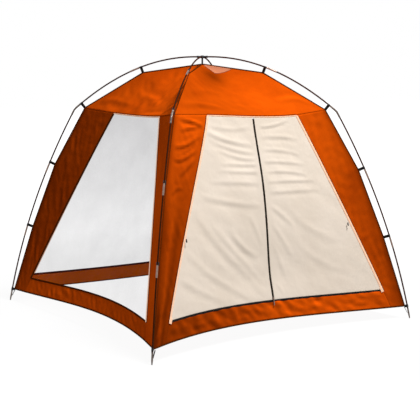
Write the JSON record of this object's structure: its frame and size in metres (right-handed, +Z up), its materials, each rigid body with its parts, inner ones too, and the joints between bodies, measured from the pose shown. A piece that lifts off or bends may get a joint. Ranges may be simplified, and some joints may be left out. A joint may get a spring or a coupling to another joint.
{
  "type": "dining shelter tent",
  "caption": "Square dome dining shelter: crossed pole arches with clips carry an orange canopy with mesh windows and a cream door that zips open.",
  "frame": {"origin": "on the ground under the hub, at the centre of the square between the feet", "axes": "+Z up; the door faces -Y; the legs stand on the diagonals"},
  "size_m": [2.4474, 2.4474, 2.128],
  "materials": {
    "fibreglass": "black fibreglass, satin",
    "steel": "bare drawn steel",
    "black_plastic": "moulded, fine grain",
    "orange_fabric": "coated polyester, slight sheen",
    "cream_fabric": "coated polyester, matt",
    "mesh_net": "fine see-through insect net",
    "black_webbing": "woven webbing",
    "zip_plastic": "coil zip"
  },
  "bodies": {
    "shelter": {"arch_pole_inner_front_left": "fibreglass", "arch_pole_inner_front_right": "fibreglass", "arch_pole_inner_rear_left": "fibreglass", "arch_pole_inner_rear_right": "fibreglass", "arch_pole_outer_front_left": "fibreglass", "arch_pole_outer_front_right": "fibreglass", "arch_pole_outer_rear_left": "fibreglass", "arch_pole_outer_rear_right": "fibreglass", "canopy_roof": "orange_fabric", "clip_1_front_left": "black_plastic", "clip_1_front_right": "black_plastic", "clip_1_rear_left": "black_plastic", "clip_1_rear_right": "black_plastic", "clip_2_front_left": "black_plastic", "clip_2_front_right": "black_plastic", "clip_2_rear_left": "black_plastic", "clip_2_rear_right": "black_plastic", "clip_3_front_left": "black_plastic", "clip_3_front_right": "black_plastic", "clip_3_rear_left": "black_plastic", "clip_3_rear_right": "black_plastic", "clip_4_front_left": "black_plastic", "clip_4_front_right": "black_plastic", "clip_4_rear_left": "black_plastic", "clip_4_rear_right": "black_plastic", "corner_strap_front_left": "black_webbing", "corner_strap_front_right": "black_webbing", "corner_strap_rear_left": "black_webbing", "corner_strap_rear_right": "black_webbing", "door_panel": "cream_fabric", "elbow_front_left": "steel", "elbow_front_right": "steel", "elbow_rear_left": "steel", "elbow_rear_right": "steel", "hub": "black_plastic", "leg_pole_lower_front_left": "fibreglass", "leg_pole_lower_front_right": "fibreglass", "leg_pole_lower_rear_left": "fibreglass", "leg_pole_lower_rear_right": "fibreglass", "leg_pole_middle_front_left": "fibreglass", "leg_pole_middle_front_right": "fibreglass", "leg_pole_middle_rear_left": "fibreglass", "leg_pole_middle_rear_right": "fibreglass", "leg_pole_upper_front_left": "fibreglass", "leg_pole_upper_front_right": "fibreglass", "leg_pole_upper_rear_left": "fibreglass", "leg_pole_upper_rear_right": "fibreglass", "wall_front": "orange_fabric", "wall_left": "orange_fabric", "wall_rear": "orange_fabric", "wall_right": "orange_fabric", "window_left": "mesh_net", "window_rear": "mesh_net", "window_right": "mesh_net"},
    "door_left": {"door_flap_left": "cream_fabric", "zip_chain": "zip_plastic"},
    "door_right": {"door_flap_right": "cream_fabric"},
    "zip_slider": {"zip_slider": "steel"},
    "toggle_left": {"toggle_left": "black_plastic"},
    "toggle_right": {"toggle_right": "black_plastic"}
  },
  "joints": [
    {"name": "door_left_fold", "type": "hinge", "parent": "shelter", "child": "door_left", "pos_m": [-0.0057, -0.7131, 1.63457], "axis": [-0.5707, -0.2243, -0.79], "range_deg": [0, 140]},
    {"name": "door_right_fold", "type": "hinge", "parent": "shelter", "child": "door_right", "pos_m": [0.0057, -0.7131, 1.63457], "axis": [-0.5679, 0.2249, 0.7918], "range_deg": [0, 140]},
    {"name": "zip_slide", "type": "slide", "parent": "door_left", "child": "zip_slider", "axis": [0, 0.1969, 0.9804], "range_m": [0, 1.357]},
    {"name": "toggle_left_turn", "type": "hinge", "parent": "shelter", "child": "toggle_left", "pos_m": [-0.76707, -0.94931, 0.78444], "axis": [-0.0377, -0.9554, 0.2928], "range_deg": [-90, 90]},
    {"name": "toggle_right_turn", "type": "hinge", "parent": "shelter", "child": "toggle_right", "pos_m": [0.76707, -0.95104, 0.77862], "axis": [0.0377, -0.9554, 0.2928], "range_deg": [-90, 90]}
  ]
}
